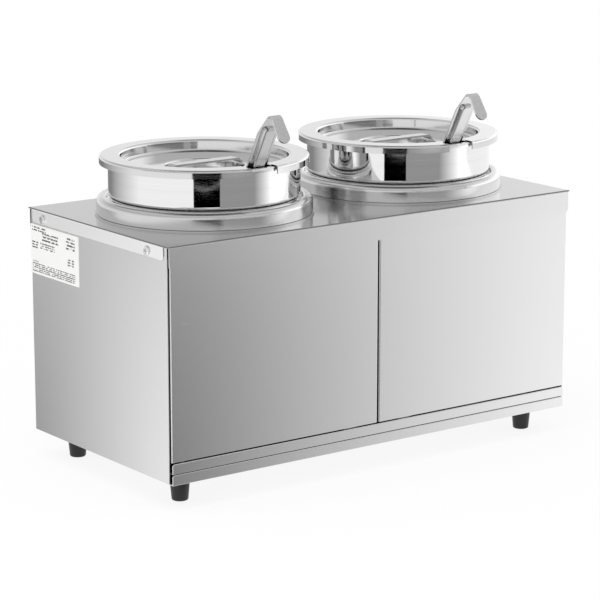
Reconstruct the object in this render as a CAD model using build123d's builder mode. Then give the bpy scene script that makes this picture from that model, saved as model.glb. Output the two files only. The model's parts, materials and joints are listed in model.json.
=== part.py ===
from build123d import *
import math
import os

# Countertop food warmer: a steel body with two round wells, and in each well an inset
# with its lid and ladle. Millimetres. +X runs along the front to the right, -Y is the
# front, +Z is up, and Z = 0 is the counter. The pieces are modelled about the middle of
# the body, then set forward so that the origin is under the middle of the whole object.
FRAME_Y = -3.47

# Body
BODY_W = 433.0
BODY_D = 219.0
BODY_H = 200.0
FOOT_H = 22.5
SHEET = 1.0
LAP_GAP = 0.1
PANEL_BEND = 2.0
HALF_W = BODY_W / 2
HALF_D = BODY_D / 2
DECK_Z = FOOT_H + BODY_H

# Deck flanges: the front and back ones are deeper than the side ones
FRONT_FLANGE = 20.0
SIDE_FLANGE = 12.5
DECK_BEND = 1.5
FLANGE_RELIEF = 7.0
FLANGE_ROUND = 4.0
END_ROUND = 0.7

# Panels: front and back faces stand just behind the deck flanges. Each side panel has a
# plain edge, set back at the front, and the front panel starts past a gap beside it
PANEL_Y = HALF_D - SHEET - LAP_GAP
RETURN_Y = PANEL_Y - SHEET - LAP_GAP
SIDE_X = HALF_W - SHEET - LAP_GAP
SIDE_RETURN = 14.0
SIDE_LIFT = 1.3
SIDE_EDGE_Y = PANEL_Y - 1.9
SIDE_EDGE_ROUND = 0.6
CORNER_GAP = 0.9
CORNER_RELIEF = 1.7
PANEL_EDGE_X = SIDE_X - SHEET - CORNER_GAP
BACK_EDGE_X = HALF_W - 4.4
PANEL_SEAM = 1.6
PANEL_RETURN = 7.0
RETURN_BEND = 1.2
PANEL_TUCK = 9.5

# Lower rails: the bottom cover's front edge, and the base pan's above it
RAIL_X = PANEL_EDGE_X
LOW_RAIL = 9.2
HIGH_RAIL = 9.0
RAIL_GAP = 0.3
RAIL_TUCK = 5.0
TRAY_SIDE = 12.0
TRAY_SIDE_Y = 100.0
FRONT_GAP = 1.0
PAN_Z = FOOT_H + LOW_RAIL + RAIL_GAP
PAN_TOP = PAN_Z + SHEET
PANEL_LOW = PAN_Z + HIGH_RAIL - RAIL_TUCK
FRONT_LOW = PAN_Z + HIGH_RAIL + FRONT_GAP
PANEL_HIGH = DECK_Z - FRONT_FLANGE + PANEL_TUCK

# Centre post behind the seam of the front panels
POST_HALF = 22.0
POST_FOOT = 14.0
POST_DEEP = 14.0

# Feet
FOOT_X = HALF_W - 28.5
FOOT_Y = HALF_D - 28.5
FOOT_TOP_R = 9.0
FOOT_LOW_R = 7.0
FOOT_EDGE = 1.5
FOOT_POCKET_R = 3.8
FOOT_POCKET_H = 11.0
M4_R = 2.0
M4_HOLE_R = 2.2
M4_NUT_FLATS = 7.0
M4_NUT_H = 3.2
M4_HEAD_R = 3.5
M4_HEAD_H = 2.6
SCREW_END = 1.0

# Screw heads, as shares of the head's height and radius
HEAD_DOME = 0.8
CROSS_L = 1.1
CROSS_W = 0.25
CROSS_DEEP = 0.5

# Truss-head screws in the deck's side flanges
TRUSS_R = 4.3
TRUSS_H = 1.6
TRUSS_SHANK_R = 1.95
TRUSS_LENGTH = 8.0
DECK_SCREW_Y = (-79.5, 84.8)
DECK_SCREW_Z = DECK_Z - 7.3

# Back panel screws
BACK_SCREW_X = 206.0
BACK_SCREW_Z = (62.0, 125.0, 190.0)
BACK_HEAD_R = 3.2
BACK_HEAD_H = 1.8
BACK_SHANK_R = 1.5
BACK_HOLE_R = 1.7
BACK_SCREW_LENGTH = 7.0

# Label on the left side
LABEL_W = 79.0
LABEL_H = 43.5
LABEL_T = 0.2
LABEL_ROUND = 1.0
LABEL_MIN_Y = 28.0
LABEL_TOP_Z = DECK_Z - SIDE_FLANGE - 1.5

# Wells and collars, measured from the well's axis
WELL_X = 105.5
DECK_HOLE_R = 88.0
WELL_T = 1.2
WELL_R = 74.5
WELL_FLOOR_Z = 59.2
WELL_FLANGE_R = 94.2
WELL_BENDS = (6.0, 2.0)
COLLAR_R = 93.0
COLLAR_IN_R = 84.3
COLLAR_TOP = DECK_Z + 15.7
COLLAR_BENDS = (5.0, 1.8, 1.4)
SEAT_Z = 233.2
SEAT_R = 74.4

# Heater, clamp plate and insulation of a well
STUD_R = 3.0
STUD_CLEAR = 0.3
STUD_LOW_Z = 38.5
HEATER_IN_R = 10.0
HEATER_R = 68.0
HEATER_H = 8.0
HEATER_GAP = 0.2
HEATER_EDGE = 2.0
CLAMP_R = 60.0
CLAMP_H = 1.6
CLAMP_HOLES = 6
CLAMP_HOLE_R = 8.4
CLAMP_HOLE_PITCH_R = 36.0
M6_NUT_FLATS = 10.0
M6_NUT_H = 5.0
SLEEVE_IN_R = 76.5
SLEEVE_R = 92.0
SLEEVE_Z = (64.0, 212.0)
SLEEVE_SLOT = 10.0
TAB_W = 6.3
TAB_T = 1.6
BACK_TAB_X = 54.6
BACK_TAB_Y = 50.0
BACK_TAB_L = 14.0
INNER_TAB_X = 36.0
INNER_TAB_Y = 12.0
INNER_TAB_L = 10.0

# Inset: the food pot, with a shoulder that stands on the collar's seat
INSET_T = 1.0
INSET_R = 82.5
INSET_LOW_R = 72.5
INSET_FLOOR_Z = 64.5
SEAT_GAP = 0.3
SHOULDER_Z = SEAT_Z + SEAT_GAP
INSET_BENDS = (9.0, 1.2, 8.0, 1.0, 0.8)
RIM_Z = 272.3
RIM_R = 87.5
RIM_LIP = 2.5

# Lid
LID_T = 1.0
LID_R = 90.0
LID_Z = 273.5
LID_SKIRT = 7.0
LID_SINK_R = 72.2
LID_SINK = 10.0
LID_DRAFT = 1.2
CUP_R = 33.5
CUP_DEEP = 11.0
LID_BENDS = (4.0, 1.8, 2.0, 2.0, 2.0)
NOTCH_W = 26.0
NOTCH_R = 64.0
NOTCH_ROUND = 6.0
STRAP_L = 76.0
STRAP_W = 11.0
STRAP_T = 1.5
STRAP_RISE = 2.0
STRAP_TAB = 4.0
STRAP_BEND = 1.8
STRAP_ROUND = 3.85

# Ladle: the handle leans outwards through the lid's notch
LADLE_T = 1.5
LEAN = 28.0
HANDLE_Y = -77.4
HANDLE_W = 20.0
HANDLE_LAP = 5.0
CREST_W = 9.8
CREST_Z = 319.9
CREST_R = 3.0
TAPER_Z = 304.0
HOOK_Y = -117.4
HOOK_Z = 297.0
HOOK_W = 12.4
HOOK_ROUND = 5.6
RIB_W = 13.0
RIB_ROUND = 3.5
RIB_H = 3.2
RIB_EDGE = 2.4
RIB_UP = 40.5
RIB_DOWN = 165.0
BOWL_R = 23.0
BOWL_T = 1.0
BOWL_WELD = 0.5
BOWL_DOWN = 220.0

# Controls on the back panel
CONTROL_X = 36.0
KNOB_Z = 128.0
SWITCH_Z = 74.0
LAMP_Z = 172.0
DIAL_R = 24.0
DIAL_T = 0.8
KNOB_R = 14.5
KNOB_SKIRT_R = 18.0
KNOB_SKIRT_H = 3.0
KNOB_Y = PANEL_Y + 1.3
KNOB_END_Y = 125.6
KNOB_EDGE = 1.0
KNOB_FLUTES = 12
FLUTE_R = 2.4
FLUTE_PITCH_R = KNOB_R + FLUTE_R / 2
POINTER_L = 8.7
POINTER_W = 1.6
POINTER_DEEP = 0.6
SPINDLE_R = 3.0
SPINDLE_FIT = 0.05
SPINDLE_FLAT = 1.0
SPINDLE_Y = (92.0, 121.0)
SPINDLE_END_GAP = 0.5
BUSH_R = 5.0
BUSH_HOLE_R = 5.5
THERMO_W = 36.0
THERMO_H = 32.0
THERMO_Y = 79.0
THERMO_ROUND = 3.0
BULB_R = 3.0
BULB_EDGE = 1.8
BULB_Z = (102.0, 170.0)
CAPILLARY_R = 0.8
CAPILLARY_X = 8.0
CAPILLARY_Z = 200.0
CAPILLARY_Y = 92.0
CAPILLARY_BEND = 6.0
CAPILLARY_LAP = 1.0
SWITCH_W = 12.8
SWITCH_H = 27.0
SWITCH_Y = 84.0
SWITCH_HOLE = 0.4
BEZEL_W = 15.6
BEZEL_H = 31.0
BEZEL_T = 2.6
BEZEL_ROUND = 1.5
BEZEL_EDGE = 0.8
POCKET_W = 10.8
POCKET_H = 24.0
POCKET_Y = 98.0
ROCKER_W = 10.2
ROCKER_HALF = 10.8
ROCKER_TILT = 9.0
ROCKER_PIVOT_Y = 106.0
ROCKER_MID = 4.2
ROCKER_BACK = 3.2
PIN_R = 1.25
PIN_FIT = 0.05
PIN_HALF = 6.0
LAMP_R = 5.0
LAMP_HOLE_R = 5.15
LAMP_BEZEL_R = 6.5
LAMP_BEZEL_T = 1.6
LAMP_BEZEL_EDGE = 0.8
LAMP_LENS_R = 4.6
LAMP_LENS_H = 4.0
LAMP_LENS_DOME = 2.8
LAMP_Y = 92.0
VENT_X = 140.0
VENT_Z = 92.0
VENT_L = 42.0
VENT_W = 4.0
VENT_PITCH = 10.0
VENT_COUNT = 5

# Cord entry and wiring
GLAND_Z = 56.0
GLAND_BORE_R = 4.5
GLAND_THREAD_R = 8.0
GLAND_HOLE_R = 8.2
GLAND_FLATS = 22.0
GLAND_HEX_T = 6.0
GLAND_CAP_R = 10.2
GLAND_CAP_EDGE = 3.5
GLAND_CAP_Y = 124.0
GLAND_INNER_Y = 96.0
LOCKNUT_T = 4.0
BLOCK_W = 44.0
BLOCK_D = 24.0
BLOCK_H = 18.0
BLOCK_Y = 52.0
BLOCK_WAYS = 4
BLOCK_CHAMFER = 4.0
BLOCK_PIT_R = 3.0
BLOCK_PIT_DEEP = 7.2
EARTH_Y = -40.0
WIRE_R = 1.5
WIRE_BEND = 5.0
WIRE_Z = 43.0
HEATER_LEAD_X = 48.0
HEATER_LEAD_Y = 88.0
HEATER_LEAD_Z = (80.0, 64.0)
RETURN_LEAD_X = 35.0
SWITCH_LEAD_X = 30.0
SWITCH_LEAD_Y = 72.0
SWITCH_LEAD_DROP = 6.0
SWITCH_LEAD_STEP = 6.0
SWITCH_LEAD_Z = 47.0
HEATER_MID_Z = WELL_FLOOR_Z - WELL_T - HEATER_GAP - HEATER_H / 2

SIDES = (("left", -1), ("right", 1))
os.makedirs("parts", exist_ok=True)


def keep(builder, label):
    """Set a finished piece in the object's frame, label it and write its STEP file."""
    placed = builder.part.moved(Location((0, FRAME_Y, 0)))
    placed.label = label
    export_step(placed, f"parts/{label}.step")


def keep_at_wells(part, name):
    """Place a piece that was modelled about the Z axis in each well."""
    for side, sign in SIDES:
        with BuildPart() as placed:
            with Locations((sign * WELL_X, 0, 0)):
                add(part)
        keep(placed, f"{name}_{side}")


def keep_controls(part, name):
    """Place a piece that was modelled on X = 0 at each control's place on the back."""
    for side, sign in SIDES:
        with BuildPart() as placed:
            with Locations((sign * CONTROL_X, 0, 0)):
                add(part)
        keep(placed, f"{name}_{side}")


def keep_mirrored(left, name):
    """Write the left-hand piece, and its mirror image as the right-hand one."""
    keep(left, f"{name}_left")
    with BuildPart() as right:
        mirror(left.part, about=Plane.YZ)
    keep(right, f"{name}_right")


def bent_sheet(points, radii, thickness, side):
    """Section of a bent sheet: a line with rounded corners, thickened to one side."""
    with BuildSketch() as section:
        with BuildLine():
            FilletPolyline(*points, radius=radii)
            offset(amount=thickness, side=side)
        make_face()
    return section.sketch


def back_plane(x, y, z):
    """A plane that faces backwards, with its own X to the right of someone behind."""
    return Plane(origin=(x, y, z), x_dir=(-1, 0, 0), z_dir=(0, 1, 0))


# Top deck: top plate, four flanges, well holes and screw holes
with BuildPart() as top_deck:
    with BuildSketch(Plane.XY.offset(DECK_Z - FRONT_FLANGE)):
        Rectangle(BODY_W, BODY_D)
    extrude(amount=FRONT_FLANGE)
    fillet(top_deck.faces().sort_by(Axis.Z)[-1].edges(), DECK_BEND)
    with BuildSketch(Plane.XY.offset(DECK_Z - FRONT_FLANGE)):
        Rectangle(BODY_W - 2 * SHEET, BODY_D - 2 * SHEET)
    extrude(amount=FRONT_FLANGE - SHEET, mode=Mode.SUBTRACT)
    with BuildSketch(Plane.XY.offset(DECK_Z - FRONT_FLANGE)):
        with GridLocations(BODY_W, 0, 2, 1):
            Rectangle(4 * SHEET, BODY_D - 2 * SHEET)
    extrude(amount=FRONT_FLANGE - SIDE_FLANGE, mode=Mode.SUBTRACT)
    with BuildSketch(Plane.XY.offset(DECK_Z - FRONT_FLANGE)):
        with GridLocations(BODY_W, BODY_D, 2, 2):
            Rectangle(2 * CORNER_RELIEF, 2 * FLANGE_RELIEF)
    extrude(amount=FRONT_FLANGE - SHEET, mode=Mode.SUBTRACT)
    with BuildSketch(Plane.XY.offset(DECK_Z)):
        with GridLocations(2 * WELL_X, 0, 2, 1):
            Circle(DECK_HOLE_R)
    extrude(amount=-2 * SHEET, mode=Mode.SUBTRACT)
    with BuildSketch(Plane.YZ.offset(-HALF_W)):
        with Locations(*[(y, DECK_SCREW_Z) for y in DECK_SCREW_Y]):
            Circle(M4_HOLE_R)
    extrude(amount=BODY_W, mode=Mode.SUBTRACT)
    fillet(top_deck.edges().filter_by(Axis.Y).group_by(Axis.Z)[0], FLANGE_ROUND)
    side_low = DECK_Z - SIDE_FLANGE
    side_ends = top_deck.edges().filter_by(Axis.X).filter_by_position(
        Axis.Z, side_low - LAP_GAP, side_low + LAP_GAP
    )
    fillet(side_ends, FLANGE_ROUND)
    flange_ends = top_deck.edges().filter_by(Axis.Z).filter_by(
        lambda edge: abs(edge.center().Y) > HALF_D - LAP_GAP
        or abs(edge.center().X) > HALF_W - LAP_GAP
    )
    fillet(flange_ends, END_ROUND)
keep(top_deck, "top_deck")

# Side panels: a plate with a return at the back, cut back over the rails
with BuildPart() as side_panel:
    with BuildSketch(Plane.XY.offset(FOOT_H + SIDE_LIFT)):
        section = bent_sheet(
            [
                (-SIDE_X, -SIDE_EDGE_Y),
                (-SIDE_X, RETURN_Y),
                (SIDE_RETURN - SIDE_X, RETURN_Y),
            ],
            PANEL_BEND,
            SHEET,
            Side.RIGHT,
        )
        add(section)
    extrude(amount=BODY_H - SIDE_LIFT - SHEET - LAP_GAP)
    front_edges = side_panel.edges().filter_by(Axis.Z).group_by(Axis.Y)[0]
    fillet(front_edges.sort_by(Axis.X)[0], SIDE_EDGE_ROUND)
    with BuildSketch(Plane.XY.offset(FOOT_H)):
        Rectangle(2 * RAIL_X + 2 * LAP_GAP, BODY_D)
    extrude(amount=PAN_TOP + LAP_GAP - FOOT_H, mode=Mode.SUBTRACT)
    with BuildSketch(Plane.YZ.offset(-HALF_W)):
        with Locations(*[(y, DECK_SCREW_Z) for y in DECK_SCREW_Y]):
            Circle(M4_HOLE_R)
    extrude(amount=SIDE_RETURN, mode=Mode.SUBTRACT)
    with BuildSketch(back_plane(0, 0, 0)):
        with Locations(*[(BACK_SCREW_X, z) for z in BACK_SCREW_Z]):
            Circle(BACK_HOLE_R)
    extrude(amount=HALF_D, mode=Mode.SUBTRACT)
keep_mirrored(side_panel, "side_panel")

# Front panels: a flat face with a return along each upright edge
with BuildPart() as front_panel:
    with BuildSketch(Plane.XY.offset(FRONT_LOW)):
        section = bent_sheet(
            [
                (-PANEL_EDGE_X, PANEL_RETURN - PANEL_Y),
                (-PANEL_EDGE_X, -PANEL_Y),
                (-PANEL_SEAM / 2, -PANEL_Y),
                (-PANEL_SEAM / 2, PANEL_RETURN - PANEL_Y),
            ],
            RETURN_BEND,
            SHEET,
            Side.LEFT,
        )
        add(section)
    extrude(amount=PANEL_HIGH - FRONT_LOW)
keep_mirrored(front_panel, "front_panel")

# Centre post: a hat section that backs the seam
with BuildPart() as centre_post:
    with BuildSketch(Plane.XY.offset(PAN_TOP)):
        section = bent_sheet(
            [
                (-POST_HALF - POST_FOOT, -RETURN_Y),
                (-POST_HALF, -RETURN_Y),
                (-POST_HALF, POST_DEEP - RETURN_Y),
                (POST_HALF, POST_DEEP - RETURN_Y),
                (POST_HALF, -RETURN_Y),
                (POST_HALF + POST_FOOT, -RETURN_Y),
            ],
            PANEL_BEND,
            SHEET,
            Side.LEFT,
        )
        add(section)
    extrude(amount=DECK_Z - SHEET - PAN_TOP)
keep(centre_post, "centre_post")

# Back panel: flat plate with the openings for the controls, vents and cord entry
with BuildPart() as back_panel:
    with BuildSketch(back_plane(0, PANEL_Y - SHEET, (PANEL_LOW + PANEL_HIGH) / 2)):
        Rectangle(2 * BACK_EDGE_X, PANEL_HIGH - PANEL_LOW)
    extrude(amount=SHEET)
    with BuildSketch(back_plane(0, PANEL_Y, 0)):
        with Locations((-CONTROL_X, KNOB_Z), (CONTROL_X, KNOB_Z)):
            Circle(BUSH_HOLE_R)
        with Locations((-CONTROL_X, LAMP_Z), (CONTROL_X, LAMP_Z)):
            Circle(LAMP_HOLE_R)
        with Locations((-CONTROL_X, SWITCH_Z), (CONTROL_X, SWITCH_Z)):
            Rectangle(SWITCH_W + SWITCH_HOLE, SWITCH_H + SWITCH_HOLE)
        with Locations((0, GLAND_Z)):
            Circle(GLAND_HOLE_R)
        with Locations((-VENT_X, VENT_Z), (VENT_X, VENT_Z)):
            with GridLocations(0, VENT_PITCH, 1, VENT_COUNT):
                SlotOverall(VENT_L, VENT_W)
        for x in (-BACK_SCREW_X, BACK_SCREW_X):
            with Locations(*[(x, z) for z in BACK_SCREW_Z]):
                Circle(BACK_HOLE_R)
    extrude(amount=-SHEET, mode=Mode.SUBTRACT)
keep(back_panel, "back_panel")


def tray(low_z, rail, side):
    """A floor with a rail bent up along the front and back, and lower sides."""
    with BuildPart() as made:
        with BuildSketch(Plane.XY.offset(low_z)):
            Rectangle(2 * RAIL_X, BODY_D)
        extrude(amount=SHEET)
        with BuildSketch(Plane.XY.offset(low_z)):
            with GridLocations(0, BODY_D - SHEET, 1, 2):
                Rectangle(2 * RAIL_X, SHEET)
        extrude(amount=rail)
        with BuildSketch(Plane.XY.offset(low_z)):
            with GridLocations(2 * RAIL_X - SHEET, 0, 2, 1):
                Rectangle(SHEET, 2 * TRAY_SIDE_Y)
        extrude(amount=side)
        with BuildSketch(Plane.XY.offset(low_z)):
            with GridLocations(2 * FOOT_X, 2 * FOOT_Y, 2, 2):
                Circle(M4_HOLE_R)
        extrude(amount=SHEET, mode=Mode.SUBTRACT)
        low_edges = made.faces().sort_by(Axis.Z)[0].edges().filter_by(Axis.X)
        fillet(low_edges, SHEET)
        rail_top = made.edges().filter_by(Axis.Y).filter_by_position(
            Axis.Z, low_z + rail - LAP_GAP, low_z + rail + LAP_GAP
        )
        fillet(rail_top.filter_by(lambda edge: edge.length < 2 * SHEET), FLANGE_ROUND / 2)
        rail_ends = made.edges().filter_by(Axis.Z).filter_by(
            lambda edge: abs(edge.center().Y) > HALF_D - LAP_GAP
        )
        fillet(rail_ends, END_ROUND)
    return made


# Base pan inside the body, and the bottom cover that closes the space under it
base_pan = tray(PAN_Z, HIGH_RAIL, TRAY_SIDE)
keep(base_pan, "base_pan")
bottom_cover = tray(FOOT_H, LOW_RAIL, LOW_RAIL - SHEET)
keep(bottom_cover, "bottom_cover")

# Rubber feet with a pocket for the screw's head
with BuildPart() as foot:
    with BuildSketch(Plane.XZ):
        with BuildLine():
            FilletPolyline(
                (M4_HOLE_R, FOOT_POCKET_H),
                (FOOT_POCKET_R, FOOT_POCKET_H),
                (FOOT_POCKET_R, 0),
                (FOOT_LOW_R, 0),
                (FOOT_TOP_R, FOOT_H),
                (M4_HOLE_R, FOOT_H),
                radius=[0, 0, FOOT_EDGE, 0],
            )
            Line((M4_HOLE_R, FOOT_H), (M4_HOLE_R, FOOT_POCKET_H))
        make_face()
    revolve(axis=Axis.Z)

for row, y in (("front", -FOOT_Y), ("rear", FOOT_Y)):
    for side, sign in SIDES:
        with BuildPart() as placed_foot:
            with Locations((sign * FOOT_X, y, 0)):
                add(foot.part)
        keep(placed_foot, f"foot_{row}_{side}")


def cross_head_screw(head_r, head_h, shank_r, length):
    """A domed screw about the Z axis: head above Z = 0, shank below."""
    with BuildPart() as screw:
        with BuildSketch(Plane.XY):
            Circle(head_r)
        extrude(amount=head_h)
        fillet(screw.edges().group_by(Axis.Z)[-1], head_h * HEAD_DOME)
        with BuildSketch(Plane.XY.offset(head_h)):
            Rectangle(head_r * CROSS_L, head_r * CROSS_W)
            Rectangle(head_r * CROSS_W, head_r * CROSS_L)
        extrude(amount=-head_h * CROSS_DEEP, mode=Mode.SUBTRACT)
        with BuildSketch(Plane.XY):
            Circle(shank_r)
        extrude(amount=-length)
    return screw.part


def hex_nut(flats, hole_r, height):
    """A nut about the Z axis, standing on Z = 0."""
    with BuildPart() as nut:
        with BuildSketch(Plane.XY):
            RegularPolygon(flats / 2, 6, major_radius=False)
            Circle(hole_r, mode=Mode.SUBTRACT)
        extrude(amount=height)
    return nut.part


# Foot screws rise through the feet, the bottom cover and the base pan
foot_screw_length = PAN_TOP + M4_NUT_H + SCREW_END - FOOT_POCKET_H
foot_screw = cross_head_screw(M4_HEAD_R, M4_HEAD_H, M4_R, foot_screw_length)
with BuildPart() as foot_screws:
    with Locations(Plane(origin=(0, 0, FOOT_POCKET_H), z_dir=(0, 0, -1))):
        with GridLocations(2 * FOOT_X, 2 * FOOT_Y, 2, 2):
            add(foot_screw)
keep(foot_screws, "foot_screws")

with BuildPart() as foot_nuts:
    with Locations((0, 0, PAN_TOP)):
        with GridLocations(2 * FOOT_X, 2 * FOOT_Y, 2, 2):
            add(hex_nut(M4_NUT_FLATS, M4_R + LAP_GAP, M4_NUT_H))
keep(foot_nuts, "foot_nuts")

# Deck screws, two on each side
with BuildPart() as deck_screws:
    for sign in (-1, 1):
        outward = Plane(origin=(sign * HALF_W, 0, DECK_SCREW_Z), x_dir=(0, 1, 0), z_dir=(sign, 0, 0))
        with Locations(outward):
            with Locations(*[(y, 0) for y in DECK_SCREW_Y]):
                add(cross_head_screw(TRUSS_R, TRUSS_H, TRUSS_SHANK_R, TRUSS_LENGTH))
keep(deck_screws, "deck_screws")

# Back panel screws, into the returns of the side panels
with BuildPart() as back_screws:
    with Locations(back_plane(0, PANEL_Y, 0)):
        for x in (-BACK_SCREW_X, BACK_SCREW_X):
            with Locations(*[(x, z) for z in BACK_SCREW_Z]):
                add(cross_head_screw(BACK_HEAD_R, BACK_HEAD_H, BACK_SHANK_R, BACK_SCREW_LENGTH))
keep(back_screws, "back_screws")

# Blank label on the left side
with BuildPart() as rating_label:
    label_middle = (-SIDE_X, LABEL_MIN_Y + LABEL_W / 2, LABEL_TOP_Z - LABEL_H / 2)
    with BuildSketch(Plane(origin=label_middle, x_dir=(0, -1, 0), z_dir=(-1, 0, 0))):
        RectangleRounded(LABEL_W, LABEL_H, LABEL_ROUND)
    extrude(amount=LABEL_T)
keep(rating_label, "rating_label")

# Well: floor, wall and a flange that lies on the deck
with BuildPart() as well:
    with BuildSketch(Plane.XZ):
        section = bent_sheet(
            [
                (0, WELL_FLOOR_Z),
                (WELL_R, WELL_FLOOR_Z),
                (WELL_R, DECK_Z + WELL_T),
                (WELL_FLANGE_R, DECK_Z + WELL_T),
            ],
            WELL_BENDS,
            WELL_T,
            Side.RIGHT,
        )
        add(section)
    revolve(axis=Axis.Z)
    with BuildSketch(Plane.XY.offset(STUD_LOW_Z)):
        Circle(STUD_R)
    extrude(amount=WELL_FLOOR_Z - WELL_T / 2 - STUD_LOW_Z)
keep_at_wells(well.part, "well")

# Collar: a spun ring on the well's flange, with a seat inside for the inset's shoulder
with BuildPart() as collar:
    with BuildSketch(Plane.XZ):
        section = bent_sheet(
            [
                (COLLAR_R, DECK_Z + WELL_T),
                (COLLAR_R, COLLAR_TOP),
                (COLLAR_IN_R, COLLAR_TOP),
                (COLLAR_IN_R, SEAT_Z),
                (SEAT_R, SEAT_Z),
            ],
            COLLAR_BENDS,
            WELL_T,
            Side.LEFT,
        )
        add(section)
    revolve(axis=Axis.Z)
keep_at_wells(collar.part, "collar")

# Heater: a ring under the well's floor, with two tabs for its leads
heater_top = WELL_FLOOR_Z - WELL_T - HEATER_GAP
with BuildPart() as heater_left:
    with BuildSketch(Plane.XY.offset(heater_top - HEATER_H)):
        with Locations((-WELL_X, 0)):
            Circle(HEATER_R)
            Circle(HEATER_IN_R, mode=Mode.SUBTRACT)
    extrude(amount=HEATER_H)
    heater_edges = heater_left.edges().filter_by(GeomType.CIRCLE).sort_by(SortBy.RADIUS)[-2:]
    fillet(heater_edges, HEATER_EDGE)
    with BuildSketch(Plane.XY.offset(HEATER_MID_Z)):
        with Locations((-BACK_TAB_X, BACK_TAB_Y)):
            Rectangle(TAB_W, BACK_TAB_L)
        with Locations((-INNER_TAB_X, INNER_TAB_Y)):
            Rectangle(INNER_TAB_L, TAB_W)
    extrude(amount=TAB_T)
keep_mirrored(heater_left, "heater")

# Clamp plate that presses the heater up, and the nut on the well's stud
clamp_top = heater_top - HEATER_H - HEATER_GAP
with BuildPart() as heater_clamp:
    with BuildSketch(Plane.XY.offset(clamp_top - CLAMP_H)):
        Circle(CLAMP_R)
        Circle(STUD_R + STUD_CLEAR, mode=Mode.SUBTRACT)
        with PolarLocations(CLAMP_HOLE_PITCH_R, CLAMP_HOLES):
            Circle(CLAMP_HOLE_R, mode=Mode.SUBTRACT)
    extrude(amount=CLAMP_H)
keep_at_wells(heater_clamp.part, "heater_clamp")

with BuildPart() as heater_nuts:
    with Locations((0, 0, clamp_top - CLAMP_H - M6_NUT_H)):
        with GridLocations(2 * WELL_X, 0, 2, 1):
            add(hex_nut(M6_NUT_FLATS, STUD_R + LAP_GAP, M6_NUT_H))
keep(heater_nuts, "heater_nuts")

# Insulation sleeve, with a slot for the sensing bulb on the side of the other well
with BuildPart() as insulation:
    with BuildSketch(Plane.XY.offset(SLEEVE_Z[0])):
        with Locations((-WELL_X, 0)):
            Circle(SLEEVE_R)
            Circle(SLEEVE_IN_R, mode=Mode.SUBTRACT)
        with Locations(((SLEEVE_R + SLEEVE_IN_R) / 2 - WELL_X, 0)):
            Rectangle(2 * (SLEEVE_R - SLEEVE_IN_R), SLEEVE_SLOT, mode=Mode.SUBTRACT)
    extrude(amount=SLEEVE_Z[1] - SLEEVE_Z[0])
keep_mirrored(insulation, "insulation")

# Inset: pot with a rounded floor, a shoulder and a rolled rim
with BuildPart() as inset:
    with BuildSketch(Plane.XZ):
        section = bent_sheet(
            [
                (0, INSET_FLOOR_Z),
                (INSET_LOW_R, INSET_FLOOR_Z),
                (INSET_LOW_R, SHOULDER_Z),
                (INSET_R, SHOULDER_Z),
                (INSET_R, RIM_Z - INSET_T),
                (RIM_R - INSET_T, RIM_Z - INSET_T),
                (RIM_R - INSET_T, RIM_Z - INSET_T - RIM_LIP),
            ],
            INSET_BENDS,
            INSET_T,
            Side.LEFT,
        )
        add(section)
    revolve(axis=Axis.Z)
keep_at_wells(inset.part, "inset")

# Lid: finger cup, sunk floor, rim and skirt, with the ladle's notch at the front
floor_z = LID_Z - LID_SINK
with BuildPart() as lid:
    with BuildSketch(Plane.XZ):
        section = bent_sheet(
            [
                (0, floor_z - CUP_DEEP),
                (CUP_R - LID_DRAFT, floor_z - CUP_DEEP),
                (CUP_R, floor_z),
                (LID_SINK_R - LID_DRAFT, floor_z),
                (LID_SINK_R, LID_Z),
                (LID_R, LID_Z),
                (LID_R, LID_Z - LID_SKIRT),
            ],
            LID_BENDS,
            LID_T,
            Side.RIGHT,
        )
        add(section)
    revolve(axis=Axis.Z)
    with BuildSketch(Plane.XY.offset(floor_z - CUP_DEEP)) as notch:
        with Locations((0, -NOTCH_R)):
            Rectangle(NOTCH_W, 2 * (LID_R - NOTCH_R), align=(Align.CENTER, Align.MAX))
        fillet(notch.vertices().group_by(Axis.Y)[-1], NOTCH_ROUND)
    extrude(amount=LID_SINK + CUP_DEEP + LID_T, mode=Mode.SUBTRACT)
keep_at_wells(lid.part, "lid")

# Strap across the finger cup, cranked up from its end tabs
with BuildPart() as lid_strap:
    with BuildSketch(Plane.XZ):
        section = bent_sheet(
            [
                (-STRAP_L / 2, floor_z),
                (STRAP_TAB - STRAP_L / 2, floor_z),
                (STRAP_TAB + STRAP_RISE - STRAP_L / 2, floor_z + STRAP_RISE),
                (STRAP_L / 2 - STRAP_TAB - STRAP_RISE, floor_z + STRAP_RISE),
                (STRAP_L / 2 - STRAP_TAB, floor_z),
                (STRAP_L / 2, floor_z),
            ],
            STRAP_BEND,
            STRAP_T,
            Side.LEFT,
        )
        add(section)
    extrude(amount=STRAP_W / 2, both=True)
    strap_ends = lid_strap.edges().filter_by(Axis.Z)
    fillet(strap_ends, STRAP_ROUND)
keep_at_wells(lid_strap.part, "lid_strap")

# Ladle: bent strip with a raised rib, a hook over the lid's edge, and a round bowl
lean = math.radians(LEAN)


def on_handle(down, back=0.0):
    """Y and Z on the handle: so far down from the inset's rim and behind the front face."""
    y = HANDLE_Y + down * math.sin(lean) + back * math.cos(lean)
    z = RIM_Z - down * math.cos(lean) + back * math.sin(lean)
    return y, z


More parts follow.
